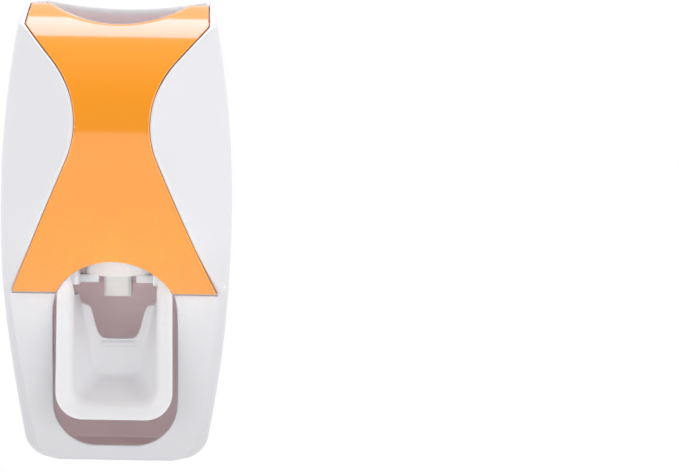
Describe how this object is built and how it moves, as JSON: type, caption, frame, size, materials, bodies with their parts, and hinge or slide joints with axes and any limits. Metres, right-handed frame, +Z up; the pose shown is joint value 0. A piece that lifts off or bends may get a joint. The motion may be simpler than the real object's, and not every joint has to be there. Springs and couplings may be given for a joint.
{
  "type": "toothpaste dispenser",
  "caption": "Wall-hung toothpaste dispenser: an hourglass panel on a rounded body, with a squeeze cup that works a vacuum pump.",
  "frame": {"origin": "middle of the adhesive face that sticks to the wall, in the wall's plane", "axes": "+Y into the wall, +Z up, and the front of the dispenser looks along -Y"},
  "size_m": [0.081, 0.0643, 0.161],
  "materials": {
    "white_shell": "glossy",
    "orange_panel": "glossy",
    "white_cup": "satin gloss",
    "inner_plastic": "satin",
    "drum_plastic": "glossy",
    "silicone": "soft matte",
    "dark_seal": "matte",
    "foam_tape": "matte foam",
    "steel": "bright"
  },
  "bodies": {
    "wall_mount": {"wall_plate": "inner_plastic", "adhesive_pads": "foam_tape"},
    "housing": {"rear_shell": "white_shell", "front_shell": "white_shell", "front_panel": "orange_panel", "shell_screws": "steel", "pump_chassis": "inner_plastic", "chassis_screws": "steel", "pump_cylinder": "inner_plastic", "cylinder_nut": "inner_plastic", "inlet_valve": "silicone", "tube_adapter": "silicone", "tube_collar": "inner_plastic", "hinge_shaft": "steel", "shaft_clips": "steel", "return_spring": "steel"},
    "cup": {"squeeze_cup": "white_cup"},
    "piston": {"plunger": "drum_plastic", "piston_seal": "dark_seal", "nozzle": "silicone", "outlet_valve": "silicone"}
  },
  "joints": [
    {"name": "housing_lift", "type": "slide", "parent": "wall_mount", "child": "housing", "axis": [0, 0, 1], "range_m": [0, 0.035]},
    {"name": "cup_hinge", "type": "hinge", "parent": "housing", "child": "cup", "pos_m": [0, -0.04598, -0.038], "axis": [1, 0, 0], "range_deg": [0, 16], "stiffness_Nm_per_rad": 0.06, "springref_deg": -8.59},
    {"name": "plunger_slide", "type": "slide", "parent": "housing", "child": "piston", "axis": [0, 0, 1], "range_m": [0, 0.0054], "deforming": ["return_spring"]}
  ],
  "couplings": [
    {"joint": "plunger_slide", "follows": "cup_hinge", "m_per_rad": 0.01885}
  ]
}
